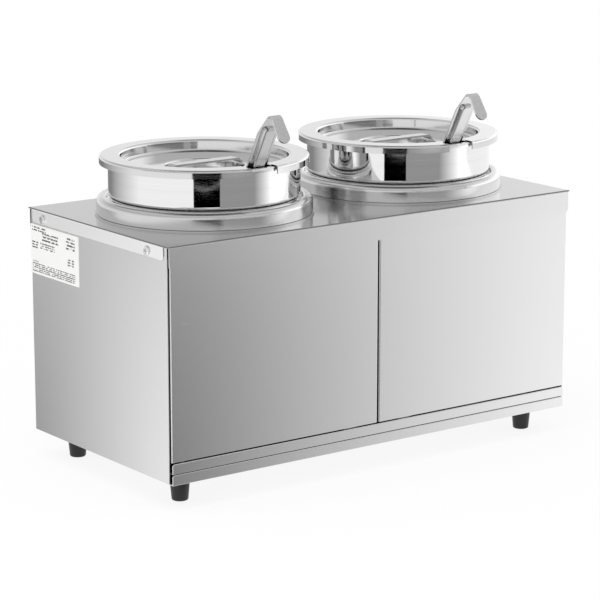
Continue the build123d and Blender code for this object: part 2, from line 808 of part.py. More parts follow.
crest_y, crest_z = on_handle((RIM_Z - CREST_Z) / math.cos(lean))
bowl_y, bowl_z = on_handle(BOWL_DOWN, LADLE_T + BOWL_R - BOWL_WELD)
with BuildPart() as ladle:
    with BuildSketch(Plane.YZ):
        section = bent_sheet(
            [
                on_handle(BOWL_DOWN + HANDLE_LAP),
                (crest_y, crest_z),
                (HOOK_Y, HOOK_Z),
            ],
            CREST_R,
            LADLE_T,
            Side.RIGHT,
        )
        add(section)
    extrude(amount=HANDLE_W / 2, both=True)
    with BuildSketch(Plane.XZ):
        with BuildLine():
            Polyline(
                (HANDLE_W / 2, TAPER_Z),
                (CREST_W / 2, CREST_Z - CREST_R),
                (CREST_W / 2, CREST_Z + CREST_R),
                (HANDLE_W, CREST_Z + CREST_R),
                (HANDLE_W, TAPER_Z),
                close=True,
            )
        make_face()
        mirror(about=Plane.YZ)
    extrude(amount=HALF_W, mode=Mode.SUBTRACT)
    with BuildSketch(Plane.XZ.offset(CREST_R - crest_y)):
        with BuildLine():
            Polyline(
                (HOOK_W / 2, HOOK_Z - CREST_R),
                (HOOK_W / 2, HOOK_Z),
                (CREST_W / 2, CREST_Z),
                (HANDLE_W, CREST_Z),
                (HANDLE_W, HOOK_Z - CREST_R),
                close=True,
            )
        make_face()
        mirror(about=Plane.YZ)
    extrude(amount=HANDLE_W, mode=Mode.SUBTRACT)
    hook_tip = ladle.faces().sort_by(Axis.Y)[0]
    fillet(hook_tip.edges().filter_by(lambda edge: edge.length < 2 * LADLE_T), HOOK_ROUND)
    forward = (0, -math.cos(lean), -math.sin(lean))
    rib_plane = Plane(origin=(0, HANDLE_Y, RIM_Z), x_dir=(1, 0, 0), z_dir=forward)
    with BuildSketch(rib_plane):
        with Locations((0, (RIB_UP - RIB_DOWN) / 2)):
            RectangleRounded(RIB_W, RIB_UP + RIB_DOWN, RIB_ROUND)
    extrude(amount=RIB_H)
    rib_top = ladle.faces().filter_by(rib_plane).sort_by(Axis.Y)[0]
    fillet(rib_top.edges(), RIB_EDGE)
    up_handle = (0, -math.sin(lean), math.cos(lean))
    bowl_rim = Plane(origin=(0, bowl_y, bowl_z), x_dir=(1, 0, 0), z_dir=up_handle)
    rim_up = (Align.CENTER, Align.CENTER, Align.MAX)
    with Locations(bowl_rim):
        Sphere(BOWL_R, arc_size2=0, align=rim_up)
        Sphere(BOWL_R - BOWL_T, arc_size2=0, align=rim_up, mode=Mode.SUBTRACT)
keep_at_wells(ladle.part, "ladle")

# Thermostat body with a bush through the back panel
with BuildPart() as thermostat:
    with BuildSketch(back_plane(0, THERMO_Y, KNOB_Z)):
        RectangleRounded(THERMO_W, THERMO_H, THERMO_ROUND)
    extrude(amount=PANEL_Y - SHEET - LAP_GAP - THERMO_Y)
    with BuildSketch(back_plane(0, THERMO_Y, KNOB_Z)):
        Circle(BUSH_R)
    extrude(amount=PANEL_Y + DIAL_T - LAP_GAP - THERMO_Y)
    with BuildSketch(back_plane(0, SPINDLE_Y[0] - SPINDLE_END_GAP, KNOB_Z)):
        Circle(SPINDLE_R + SPINDLE_FIT)
    extrude(amount=PANEL_Y, mode=Mode.SUBTRACT)
keep_controls(thermostat.part, "thermostat")

# Sensing bulb in the insulation's slot, and the capillary that runs to the thermostat
bulb_x = WELL_X - WELL_R - WELL_T - LAP_GAP * 3 - BULB_R
with BuildPart() as capillary:
    with BuildSketch(Plane.XY.offset(BULB_Z[0])):
        with Locations((-bulb_x, 0)):
            Circle(BULB_R)
    extrude(amount=BULB_Z[1] - BULB_Z[0])
    fillet(capillary.edges().filter_by(GeomType.CIRCLE), BULB_EDGE)
    with BuildLine() as capillary_path:
        FilletPolyline(
            (-bulb_x, 0, BULB_Z[1] - CAPILLARY_LAP),
            (-bulb_x, 0, CAPILLARY_Z),
            (-CAPILLARY_X, 0, CAPILLARY_Z),
            (-CAPILLARY_X, CAPILLARY_Y, CAPILLARY_Z),
            (-CAPILLARY_X, CAPILLARY_Y, KNOB_Z),
            (THERMO_W / 2 - CONTROL_X, CAPILLARY_Y, KNOB_Z),
            radius=CAPILLARY_BEND,
        )
    with BuildSketch(Plane.XY.offset(BULB_Z[1] - CAPILLARY_LAP)):
        with Locations((-bulb_x, 0)):
            Circle(CAPILLARY_R)
    sweep(path=capillary_path.wires()[0])
keep_mirrored(capillary, "capillary")


def flatted_round(radius):
    """Draw a round with one flat, as on a control spindle, in the sketch that is open."""
    Circle(radius)
    with Locations((0, radius)):
        Rectangle(2 * radius, 2 * SPINDLE_FLAT, mode=Mode.SUBTRACT)


# Spindle that the knob turns
with BuildPart() as spindle:
    with BuildSketch(back_plane(0, SPINDLE_Y[0], KNOB_Z)):
        Circle(SPINDLE_R)
    extrude(amount=KNOB_Y - SPINDLE_Y[0])
    with BuildSketch(back_plane(0, KNOB_Y, KNOB_Z)):
        flatted_round(SPINDLE_R)
    extrude(amount=SPINDLE_Y[1] - KNOB_Y)
keep_controls(spindle.part, "spindle")

# Knob: a skirt and a fluted grip, with a pointer groove
with BuildPart() as knob:
    with BuildSketch(back_plane(0, KNOB_Y, KNOB_Z)):
        Circle(KNOB_SKIRT_R)
    extrude(amount=KNOB_SKIRT_H)
    with BuildSketch(back_plane(0, KNOB_Y, KNOB_Z)):
        Circle(KNOB_R)
        with PolarLocations(FLUTE_PITCH_R, KNOB_FLUTES, start_angle=180 / KNOB_FLUTES):
            Circle(FLUTE_R, mode=Mode.SUBTRACT)
    extrude(amount=KNOB_END_Y - KNOB_Y)
    fillet(knob.faces().sort_by(Axis.Y)[-1].edges(), KNOB_EDGE)
    with BuildSketch(back_plane(0, KNOB_END_Y, KNOB_Z)):
        with Locations((0, POINTER_L)):
            SlotOverall(POINTER_L, POINTER_W, rotation=90)
    extrude(amount=-POINTER_DEEP, mode=Mode.SUBTRACT)
    with BuildSketch(back_plane(0, KNOB_Y, KNOB_Z)):
        flatted_round(SPINDLE_R + SPINDLE_FIT)
    extrude(amount=SPINDLE_Y[1] + SPINDLE_END_GAP - KNOB_Y, mode=Mode.SUBTRACT)
keep_controls(knob.part, "knob")

# Dial plate under the knob
with BuildPart() as dial:
    with BuildSketch(back_plane(0, PANEL_Y, KNOB_Z)):
        Circle(DIAL_R)
        Circle(BUSH_R + LAP_GAP, mode=Mode.SUBTRACT)
    extrude(amount=DIAL_T)
keep_controls(dial.part, "dial")

# Rocker switch housing with its pocket and the holes for the rocker's pin
with BuildPart() as switch_body:
    with BuildSketch(back_plane(0, SWITCH_Y, SWITCH_Z)):
        Rectangle(SWITCH_W, SWITCH_H)
    extrude(amount=PANEL_Y - SWITCH_Y)
    with BuildSketch(back_plane(0, PANEL_Y, SWITCH_Z)):
        RectangleRounded(BEZEL_W, BEZEL_H, BEZEL_ROUND)
    extrude(amount=BEZEL_T)
    fillet(switch_body.faces().sort_by(Axis.Y)[-1].edges(), BEZEL_EDGE)
    with BuildSketch(back_plane(0, POCKET_Y, SWITCH_Z)):
        Rectangle(POCKET_W, POCKET_H)
    extrude(amount=PANEL_Y, mode=Mode.SUBTRACT)
    with BuildSketch(Plane(origin=(0, ROCKER_PIVOT_Y, SWITCH_Z), x_dir=(0, 1, 0), z_dir=(1, 0, 0))):
        Circle(PIN_R + PIN_FIT)
    extrude(amount=PIN_HALF + LAP_GAP, both=True, mode=Mode.SUBTRACT)
keep_controls(switch_body.part, "switch_body")

# Rocker, drawn level and then tipped to its rest, with the lower half pressed in
ends_rise = ROCKER_HALF * math.tan(math.radians(ROCKER_TILT))
with BuildPart() as rocker:
    with BuildSketch(Plane.YZ):
        with BuildLine():
            Polyline(
                (ROCKER_MID + ends_rise, -ROCKER_HALF),
                (ROCKER_MID, 0),
                (ROCKER_MID + ends_rise, ROCKER_HALF),
                (0, ROCKER_HALF),
                (-ROCKER_BACK, ROCKER_BACK),
                (-ROCKER_BACK, -ROCKER_BACK),
                (0, -ROCKER_HALF),
                close=True,
            )
        make_face()
    extrude(amount=ROCKER_W / 2, both=True)
    with BuildSketch(Plane.YZ):
        Circle(PIN_R)
    extrude(amount=PIN_HALF, both=True)

for side, sign in SIDES:
    with BuildPart() as placed_rocker:
        with Locations(Location((sign * CONTROL_X, ROCKER_PIVOT_Y, SWITCH_Z), (-ROCKER_TILT, 0, 0))):
            add(rocker.part)
    keep(placed_rocker, f"rocker_{side}")

# Pilot light: barrel, bezel and domed lens
with BuildPart() as pilot_light:
    with BuildSketch(back_plane(0, LAMP_Y, LAMP_Z)):
        Circle(LAMP_R)
    extrude(amount=PANEL_Y - LAMP_Y)
    with BuildSketch(back_plane(0, PANEL_Y, LAMP_Z)):
        Circle(LAMP_BEZEL_R)
    extrude(amount=LAMP_BEZEL_T)
    fillet(pilot_light.edges().group_by(Axis.Y)[-1], LAMP_BEZEL_EDGE)
    with BuildSketch(back_plane(0, PANEL_Y + LAMP_BEZEL_T, LAMP_Z)):
        Circle(LAMP_LENS_R)
    extrude(amount=LAMP_LENS_H)
    fillet(pilot_light.edges().group_by(Axis.Y)[-1], LAMP_LENS_DOME)
keep_controls(pilot_light.part, "pilot_light")

# Cord gland through the back panel, and its locknut inside
with BuildPart() as cable_gland:
    with BuildSketch(back_plane(0, GLAND_INNER_Y, GLAND_Z)):
        Circle(GLAND_THREAD_R)
    extrude(amount=PANEL_Y - GLAND_INNER_Y)
    with BuildSketch(back_plane(0, PANEL_Y, GLAND_Z)):
        RegularPolygon(GLAND_FLATS / 2, 6, major_radius=False)
    extrude(amount=GLAND_HEX_T)
    with BuildSketch(back_plane(0, PANEL_Y, GLAND_Z)):
        Circle(GLAND_CAP_R)
    extrude(amount=GLAND_CAP_Y - PANEL_Y)
    fillet(cable_gland.edges().group_by(Axis.Y)[-1], GLAND_CAP_EDGE)
    with BuildSketch(back_plane(0, GLAND_INNER_Y, GLAND_Z)):
        Circle(GLAND_BORE_R)
    extrude(amount=GLAND_CAP_Y - GLAND_INNER_Y, mode=Mode.SUBTRACT)
keep(cable_gland, "cable_gland")

with BuildPart() as gland_locknut:
    with BuildSketch(back_plane(0, PANEL_Y - SHEET - LOCKNUT_T, GLAND_Z)):
        RegularPolygon(GLAND_FLATS / 2, 6, major_radius=False)
        Circle(GLAND_THREAD_R + LAP_GAP, mode=Mode.SUBTRACT)
    extrude(amount=LOCKNUT_T)
keep(gland_locknut, "gland_locknut")

# Terminal block on the base pan, with a pit for each screw
with BuildPart() as terminal_block:
    with BuildSketch(Plane.XY.offset(PAN_TOP)):
        with Locations((0, BLOCK_Y)):
            Rectangle(BLOCK_W, BLOCK_D)
    extrude(amount=BLOCK_H)
    chamfer(terminal_block.edges().filter_by(Axis.X).group_by(Axis.Z)[-1], BLOCK_CHAMFER)
    with BuildSketch(Plane.XY.offset(PAN_TOP + BLOCK_H)):
        with Locations((0, BLOCK_Y)):
            with GridLocations(BLOCK_W / BLOCK_WAYS, 0, BLOCK_WAYS, 1):
                Circle(BLOCK_PIT_R)
    extrude(amount=-BLOCK_PIT_DEEP, mode=Mode.SUBTRACT)
keep(terminal_block, "terminal_block")

# Earth stud on the base pan
with BuildPart() as earth_stud:
    with BuildSketch(Plane.XY.offset(PAN_TOP)):
        with Locations((0, EARTH_Y)):
            RegularPolygon(M4_NUT_FLATS / 2, 6, major_radius=False)
    extrude(amount=M4_NUT_H)
    with BuildSketch(Plane.XY.offset(PAN_TOP)):
        with Locations((0, EARTH_Y)):
            Circle(M4_R)
    extrude(amount=3 * M4_NUT_H)
keep(earth_stud, "earth_stud")


def wire(points, start_plane):
    """A lead along straight runs joined by arcs."""
    with BuildPart() as lead:
        with BuildLine() as path:
            FilletPolyline(*points, radius=WIRE_BEND)
        with BuildSketch(start_plane):
            Circle(WIRE_R)
        sweep(path=path.wires()[0])
    return lead.part


# Leads of the left well: thermostat to heater, heater to block, and switch to block
thermo_low = KNOB_Z - THERMO_H / 2
tab_z = HEATER_MID_Z + TAB_T / 2
tab_end_y = BACK_TAB_Y + BACK_TAB_L / 2
heater_lead = wire(
    [
        (-HEATER_LEAD_X, HEATER_LEAD_Y, thermo_low),
        (-HEATER_LEAD_X, HEATER_LEAD_Y, HEATER_LEAD_Z[0]),
        (-BACK_TAB_X, HEATER_LEAD_Y, HEATER_LEAD_Z[1]),
        (-BACK_TAB_X, HEATER_LEAD_Y, tab_z),
        (-BACK_TAB_X, tab_end_y, tab_z),
    ],
    Plane(origin=(-HEATER_LEAD_X, HEATER_LEAD_Y, thermo_low), z_dir=(0, 0, -1)),
)
return_lead = wire(
    [
        (-BLOCK_W / 2, BLOCK_Y, WIRE_Z),
        (-RETURN_LEAD_X, BLOCK_Y, WIRE_Z),
        (-RETURN_LEAD_X, INNER_TAB_Y, WIRE_Z),
        (-RETURN_LEAD_X, INNER_TAB_Y, HEATER_MID_Z),
    ],
    Plane(origin=(-BLOCK_W / 2, BLOCK_Y, WIRE_Z), z_dir=(-1, 0, 0)),
)
switch_lead = wire(
    [
        (-CONTROL_X, SWITCH_Y, SWITCH_Z),
        (-CONTROL_X, SWITCH_LEAD_Y, SWITCH_Z),
        (-SWITCH_LEAD_X, SWITCH_LEAD_Y, SWITCH_Z - SWITCH_LEAD_DROP),
        (-SWITCH_LEAD_X, SWITCH_LEAD_Y, SWITCH_LEAD_Z),
        (-SWITCH_LEAD_X, BLOCK_Y + SWITCH_LEAD_STEP, SWITCH_LEAD_Z),
        (-BLOCK_W / 2, BLOCK_Y + SWITCH_LEAD_STEP, SWITCH_LEAD_Z),
    ],
    Plane(origin=(-CONTROL_X, SWITCH_Y, SWITCH_Z), z_dir=(0, -1, 0)),
)
with BuildPart() as wiring:
    add([heater_lead, return_lead, switch_lead])
keep_mirrored(wiring, "wiring")
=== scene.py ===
import json
import math

import bpy
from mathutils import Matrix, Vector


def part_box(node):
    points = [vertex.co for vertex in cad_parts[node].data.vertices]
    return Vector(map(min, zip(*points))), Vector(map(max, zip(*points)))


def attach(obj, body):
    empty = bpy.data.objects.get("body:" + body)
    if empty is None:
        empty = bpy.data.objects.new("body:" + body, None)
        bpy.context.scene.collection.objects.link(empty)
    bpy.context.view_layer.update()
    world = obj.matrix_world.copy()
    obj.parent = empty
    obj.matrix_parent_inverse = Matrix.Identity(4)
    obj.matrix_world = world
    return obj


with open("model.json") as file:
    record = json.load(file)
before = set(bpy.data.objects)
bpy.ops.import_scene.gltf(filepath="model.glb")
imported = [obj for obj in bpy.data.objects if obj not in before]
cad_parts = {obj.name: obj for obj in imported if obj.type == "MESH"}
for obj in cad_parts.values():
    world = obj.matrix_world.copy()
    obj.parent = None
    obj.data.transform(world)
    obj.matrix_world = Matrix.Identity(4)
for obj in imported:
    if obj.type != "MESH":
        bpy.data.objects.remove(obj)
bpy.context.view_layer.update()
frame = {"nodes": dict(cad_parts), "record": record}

# The food warmer, dressed over its CAD nodes. Metres, in the CAD frame: +X to the right along
# the front, -Y to the front, +Z up, and the counter at Z = 0.
nodes = frame["nodes"]
scene = bpy.context.scene
scene.view_settings.view_transform = "Standard"
SIDES = ("left", "right")

# Places from the CAD nodes: the deck, and the axis of the right-hand well, which the left mirrors
deck_low, deck_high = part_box("top_deck")
collar_low, collar_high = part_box("collar_right")
DECK_Z = deck_high.z
WELL_X = (collar_low.x + collar_high.x) / 2
WELL_Y = (collar_low.y + collar_high.y) / 2


# Small helpers for materials

def linear(code):
    """The linear colour of an sRGB hex value."""
    parts = [int(code[i:i + 2], 16) / 255 for i in (1, 3, 5)]
    return tuple(p / 12.92 if p <= 0.04045 else ((p + 0.055) / 1.055) ** 2.4 for p in parts) + (1.0,)


def add(tree, kind, inputs=None, **settings):
    """Add a node with its settings. An input is a value, a socket to link, or a node whose first
    output is linked."""
    made = tree.nodes.new(kind)
    for name, value in settings.items():
        setattr(made, name, value)
    for name, value in (inputs or {}).items():
        if isinstance(value, bpy.types.Node):
            value = value.outputs[0]
        if isinstance(value, bpy.types.NodeSocket):
            tree.links.new(value, made.inputs[name])
        else:
            made.inputs[name].default_value = value
    return made


def new_surface(name):
    """A material with an empty node tree, that tree, and the place of a point on the piece."""
    made = bpy.data.materials.new(name)
    made.use_nodes = True
    made.node_tree.nodes.clear()
    return made, made.node_tree, add(made.node_tree, "ShaderNodeTexCoord").outputs["Object"]


def finish_surface(tree, **sockets):
    """The shader and the output of a surface. A socket's name has _ for each space."""
    inputs = {name.replace("_", " "): value for name, value in sockets.items()}
    shader = add(tree, "ShaderNodeBsdfPrincipled", inputs)
    add(tree, "ShaderNodeOutputMaterial", {"Surface": shader})


# Brushed sheet. The real spacing of its lines is 0.1 mm, drawn wider so that it shows
LINE_MM = 83.3
LINE_SPACING_MM = 0.625
CLOUD_MM = 111.0
LINE_ALONG = 1000 / LINE_MM
LINE_ACROSS = 1000 / LINE_SPACING_MM
# The deck's bends, a dark line of painted shade on them, the smoother gloss of its wiped top, painted shade
# that darkens that top, and a painted highlight that brightens the flanges at its ends
DECK_BEND = 0.0015
BEND_LINE = (0.0001, 0.0009)
BEND_SHADE = 0.4
TOP_ROUGH = 0.12
TOP_PAINTED_SHADE = 0.70
END_PAINTED_HIGHLIGHT = 1.33
END_HIGHLIGHT_BLEND = (0.0014, 0.0002)


def brushed_sheet(name, grain, tangent, stretch, deck=False):
    """Stainless sheet, belt-brushed and left bare. Its fine lines draw a highlight out across
    them, and the sheet mirrors its surroundings only as soft smears. The deck's top is wiped
    smoother and darkened with painted shade, the flanges at its ends are brightened with a
    painted highlight, and its bends have a dark line of painted shade."""
    material, tree, place = new_surface(name)
    lines = add(tree, "ShaderNodeMapping", {"Vector": place, "Scale": grain})
    streaks = add(tree, "ShaderNodeTexNoise", {
        "Vector": lines, "Scale": 1.0, "Detail": 4.0, "Roughness": 0.65,
    })
    cloud = add(tree, "ShaderNodeTexNoise", {"Vector": place, "Scale": 1000 / CLOUD_MM, "Detail": 2.0})
    rough = add(tree, "ShaderNodeMapRange", {
        "Value": streaks, "From Min": 0.25, "From Max": 0.75, "To Min": 0.245, "To Max": 0.275,
    })
    shade = add(tree, "ShaderNodeMath", {0: streaks, 1: cloud}, operation="ADD")
    tint = add(tree, "ShaderNodeMapRange", {
        "Value": shade, "From Min": 0.6, "From Max": 1.4, "To Min": 0.991, "To Max": 1.008,
    })
    if deck:
        split = add(tree, "ShaderNodeSeparateXYZ", {"Vector": place})
        flat = add(tree, "ShaderNodeMapRange", {
            "Value": split.outputs["Z"], "From Min": DECK_Z - DECK_BEND, "From Max": DECK_Z,
        })
        rough = add(tree, "ShaderNodeMix", {"Factor": flat, 2: rough, 3: TOP_ROUGH}, data_type="FLOAT")
        # Painted highlight: the colour of the flanges at the deck's ends is brightened
        out = add(tree, "ShaderNodeMath", {0: split.outputs["X"]}, operation="ABSOLUTE")
        end_highlight = add(tree, "ShaderNodeMapRange", {
            "Value": out, "From Min": deck_high.x - END_HIGHLIGHT_BLEND[0], "From Max": deck_high.x - END_HIGHLIGHT_BLEND[1],
            "To Min": 1.0, "To Max": END_PAINTED_HIGHLIGHT,
        })
        tint = add(tree, "ShaderNodeMath", {0: tint, 1: end_highlight}, operation="MULTIPLY")
        # Painted shade: a dark line along the bend just below the deck's top
        bend = add(tree, "ShaderNodeMath", {
            0: split.outputs["Z"], 1: DECK_Z - sum(BEND_LINE) / 2, 2: (BEND_LINE[1] - BEND_LINE[0]) / 2,
        }, operation="COMPARE")
        line = add(tree, "ShaderNodeMapRange", {"Value": bend, "To Min": 1.0, "To Max": BEND_SHADE})
        tint = add(tree, "ShaderNodeMath", {0: tint, 1: line}, operation="MULTIPLY")
        # Painted shade: the colour of the deck's top is darkened
        darker = add(tree, "ShaderNodeMath", {0: tint, 1: TOP_PAINTED_SHADE}, operation="MULTIPLY")
        tint = add(tree, "ShaderNodeMix", {"Factor": flat, 2: tint, 3: darker}, data_type="FLOAT")
    colour = add(tree, "ShaderNodeVectorMath", {0: linear("#DEDEDE")[:3], "Scale": tint}, operation="SCALE")
    dents = add(tree, "ShaderNodeBump", {"Height": streaks, "Strength": 0.004, "Distance": 0.0002})
    heading = add(tree, "ShaderNodeCombineXYZ", {"Y": tangent[0], "Z": tangent[1]})
    finish_surface(
        tree, Base_Color=colour, Roughness=rough, Normal=dents, Metallic=1.0,
        Anisotropic=stretch, Tangent=heading,
    )
    return material


# The highlight is drawn out up the panels, and on the deck across its lines, over each bend
sheet_steel = brushed_sheet(
    "stainless_sheet_belt_brushed", (LINE_ALONG, LINE_ALONG, LINE_ACROSS), (0.05, 1), 0.5
)
deck_steel = brushed_sheet(
    "stainless_deck_belt_brushed", (LINE_ALONG, LINE_ACROSS, LINE_ACROSS), (1, 0.05), 0.8, deck=True
)


# Turned steel: the length of its swells, and a painted contact shadow at a foot, which fades out over 0.3 mm
SWELL_MM = 45.5
CONTACT_SHADOW_FADE = 0.0003
CONTACT_SHADOW_SHADE = 0.12


def turned_steel(name, code, ring_mm, rough, spread, ring_deep_mm, swell_deep_mm, stretch, foot=None):
    """Stainless steel finished while it turns on the axis of a well. Fine rings run round it, and
    pull a highlight out to spokes on the flats and to upright bars on the walls. Below the height
    of a foot, its colour is darkened to a painted contact shadow where it stands."""
    material, tree, place = new_surface(name)
    split = add(tree, "ShaderNodeSeparateXYZ", {"Vector": place})
    side = add(tree, "ShaderNodeMath", {0: split.outputs["X"]}, operation="ABSOLUTE")
    across = add(tree, "ShaderNodeMath", {0: side, 1: WELL_X}, operation="SUBTRACT")
    deep = add(tree, "ShaderNodeMath", {0: split.outputs["Y"], 1: WELL_Y}, operation="SUBTRACT")
    level = add(tree, "ShaderNodeCombineXYZ", {"X": across, "Y": deep})
    radius = add(tree, "ShaderNodeVectorMath", {0: level}, operation="LENGTH").outputs["Value"]
    section = add(tree, "ShaderNodeCombineXYZ", {"X": radius, "Y": split.outputs["Z"]})
    rings = add(tree, "ShaderNodeTexNoise", {
        "Vector": section, "Scale": 1000 / ring_mm, "Detail": 3.0, "Roughness": 0.6,
    })
    waves = add(tree, "ShaderNodeTexNoise", {"Vector": place, "Scale": 1000 / SWELL_MM, "Detail": 1.0})
    uneven = add(tree, "ShaderNodeMapRange", {
        "Value": rings, "From Min": 0.3, "From Max": 0.7, "To Min": rough - spread, "To Max": rough + spread,
    })
    tint = add(tree, "ShaderNodeMapRange", {
        "Value": rings, "From Min": 0.3, "From Max": 0.7, "To Min": 0.97, "To Max": 1.02,
    })
    # Painted shade: a contact shadow darkens the colour below the foot
    if foot:
        contact_shadow_factor = add(tree, "ShaderNodeMapRange", {
            "Value": split.outputs["Z"], "From Min": foot - CONTACT_SHADOW_FADE, "From Max": foot,
            "To Min": CONTACT_SHADOW_SHADE, "To Max": 1.0,
        })
        tint = add(tree, "ShaderNodeMath", {0: tint, 1: contact_shadow_factor}, operation="MULTIPLY")
    colour = add(tree, "ShaderNodeVectorMath", {0: linear(code)[:3], "Scale": tint}, operation="SCALE")
    ridges = add(tree, "ShaderNodeBump", {
        "Height": rings, "Strength": 0.2, "Distance": ring_deep_mm / 1000,
    })
    swells = add(tree, "ShaderNodeBump", {
        "Height": waves, "Strength": 0.2, "Distance": swell_deep_mm / 1000, "Normal": ridges,
    })
    finish_surface(
        tree, Base_Color=colour, Roughness=uneven, Normal=swells, Metallic=1.0,
        Anisotropic=stretch, Anisotropic_Rotation=0.25,
    )
    return material


# Ring spacings are 0.2 mm or less in the metal, and are drawn wider so that they show
# The collar's foot, below which its painted contact shadow lies
COLLAR_FOOT = DECK_Z + 0.0017
spun_steel = turned_steel("stainless_collar_spun", "#D6D6D6", 1.4, 0.19, 0.04, 0.01, 0.0, 0.6, COLLAR_FOOT)
drawn_steel = turned_steel("stainless_well_deep_drawn", "#CFCFCF", 3.0, 0.34, 0.06, 0.01, 0.0, 0.3)
mirror_steel = turned_steel("stainless_inset_mirror_polished", "#EEEEEE", 2.2, 0.045, 0.015, 0.002, 0.2, 0.2)
lid_steel = turned_steel("stainless_lid_spun_polished", "#DCDCDC", 1.8, 0.085, 0.03, 0.004, 0.3, 0.3)


def grained(name, codes, metallic, rough, grain_mm, deep_mm, spread, stretch=(1.0, 1.0, 1.0)):
    """A surface between two close colours, whose grain shows in its gloss and its light. The grain
    has a width, a depth, a share in the roughness and a stretch along each axis."""
    material, tree, place = new_surface(name)
    drawn = add(tree, "ShaderNodeMapping", {"Vector": place, "Scale": stretch})
    grain = add(tree, "ShaderNodeTexNoise", {"Vector": drawn, "Scale": 1000 / grain_mm, "Detail": 3.0})
    share = add(tree, "ShaderNodeMapRange", {"Value": grain, "From Min": 0.3, "From Max": 0.7})
    colour = add(tree, "ShaderNodeMix", {
        "Factor": share, 6: linear(codes[0]), 7: linear(codes[1]),
    }, data_type="RGBA")
    uneven = add(tree, "ShaderNodeMapRange", {
        "Value": grain, "From Min": 0.3, "From Max": 0.7, "To Min": rough - spread, "To Max": rough + spread,
    })
    dents = add(tree, "ShaderNodeBump", {"Height": grain, "Strength": 0.3, "Distance": deep_mm / 1000})
    finish_surface(tree, Base_Color=colour.outputs[2], Metallic=metallic, Roughness=uneven, Normal=dents)
    return material


# Pressed stainless, barrel tumbled: an even grey satin with short scratches along the handle
tumbled = grained(
    "stainless_ladle_tumbled", ("#C9C9C9", "#D9D9D9"), 1.0, 0.17, 0.9, 0.004, 0.03, (1.0, 1.0, 0.15)
)
# Stainless screws and nuts, cold headed: bright, with small press marks
headed = grained("stainless_screws_cold_headed", ("#DDDDDD", "#F0F0F0"), 1.0, 0.13, 1.2, 0.004, 0.04)
# Sand-cast aluminium: pale and dull, with the grain of the mould
cast = grained("aluminium_sand_cast", ("#8F9091", "#B4B5B5"), 1.0, 0.52, 1.6, 0.12, 0.12)
# Zinc-plated steel: bluish grey with a faint yellow bloom
zinc = grained("steel_zinc_plated", ("#B9BCC0", "#C8C4B0"), 1.0, 0.34, 9.0, 0.006, 0.08)
# Mineral wool: matted fibres in dull yellow and brown
wool = grained("mineral_wool_matted", ("#8C7A4C", "#C2B077"), 0.0, 0.95, 2.2, 0.9, 0.04, (1.0, 1.0, 3.0))
# Phenolic moulding: very dark brown with mineral specks, half gloss
phenolic = grained("phenolic_moulded_brown", ("#1E1714", "#2E241E"), 0.0, 0.38, 0.7, 0.01, 0.06)
# Drawn copper tube: warm, with duller patches where it has tarnished
copper = grained("copper_tube_drawn", ("#A5603C", "#C98A5E"), 1.0, 0.3, 7.0, 0.004, 0.1)
# Turned brass: yellow, with fine tool marks across its axis
brass = grained("brass_turned", ("#B8954A", "#CDAE62"), 1.0, 0.24, 0.5, 0.006, 0.06, (0.2, 3.0, 0.2))
# Moulded rubber: nearly black with a weak gloss, and a little paler in its grain
rubber = grained("rubber_moulded_black", ("#0B0B0C", "#161617"), 0.0, 0.42, 0.9, 0.02, 0.08)
# Moulded ABS: black with the fine spark-worn grain of its mould
knob_abs = grained("abs_moulded_black", ("#131314", "#1C1C1D"), 0.0, 0.4, 0.45, 0.02, 0.06)
# Moulded nylon: black and a little waxy
nylon = grained("nylon_moulded_black", ("#18181A", "#222224"), 0.0, 0.46, 0.8, 0.01, 0.06)
# Polycarbonate rocker: black with a clean gloss that is a little uneven
rocker_gloss = grained("polycarbonate_moulded_black", ("#0F0F10", "#171718"), 0.0, 0.2, 6.0, 0.01, 0.05)
# Glazed porcelain terminal block: off white with a soft gloss
porcelain = grained("porcelain_glazed", ("#E4DFD0", "#EDE9DD"), 0.0, 0.2, 5.0, 0.02, 0.06)
# Wire covered with braided glass yarn: off white, its strands 1 mm apart
braid = grained("glass_yarn_braided", ("#B9B4A4", "#DDD8C8"), 0.0, 0.7, 1.0, 0.15, 0.06)
# Anodised aluminium dial: pale satin grey, etched evenly
anodised = grained("aluminium_anodised", ("#C4C6C8", "#CDCFD1"), 1.0, 0.4, 0.4, 0.004, 0.04)
# Paint laid in by hand: white, with soft edges to its gloss
white_paint = grained("enamel_paint_white", ("#E8E8E4", "#F0F0EC"), 0.0, 0.36, 1.5, 0.006, 0.05)
# Printing ink on the dial: black and dull
black_ink = grained("screen_ink_black", ("#1A1A1B", "#262627"), 0.0, 0.6, 0.6, 0.002, 0.05)


# Pilot light: the lens stands 4 mm out of the bezel, and its colour starts just below the bezel's face
COLOUR_DEEP = 0.0042
FACET_MM = 1.1


def lamp_surface():
    """A polycarbonate lens in amber with moulded facets, whose colour takes in the bezel's face. It
    is glossy and looks deep, and the bezel's edge is black with a small gloss."""
    material, tree, place = new_surface("polycarbonate_lens_amber")
    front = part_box("pilot_light_left")[1].y
    split = add(tree, "ShaderNodeSeparateXYZ", {"Vector": place})
    lens = add(tree, "ShaderNodeMath", {
        0: split.outputs["Y"], 1: front - COLOUR_DEEP,
    }, operation="GREATER_THAN")
    facets = add(tree, "ShaderNodeTexVoronoi", {"Vector": place, "Scale": 1000 / FACET_MM}, feature="F1")
    colour = add(tree, "ShaderNodeMix", {
        "Factor": lens, 6: linear("#161617"), 7: linear("#D9631C"),
    }, data_type="RGBA")
    depth = add(tree, "ShaderNodeMath", {0: facets, 1: lens}, operation="MULTIPLY")
    dents = add(tree, "ShaderNodeBump", {"Height": depth, "Strength": 0.35, "Distance": 0.0004})
    gloss = add(tree, "ShaderNodeMapRange", {"Value": lens, "To Min": 0.4, "To Max": 0.12})
    finish_surface(tree, Base_Color=colour.outputs[2], Roughness=gloss, Normal=dents, Coat_Weight=0.4)
    return material


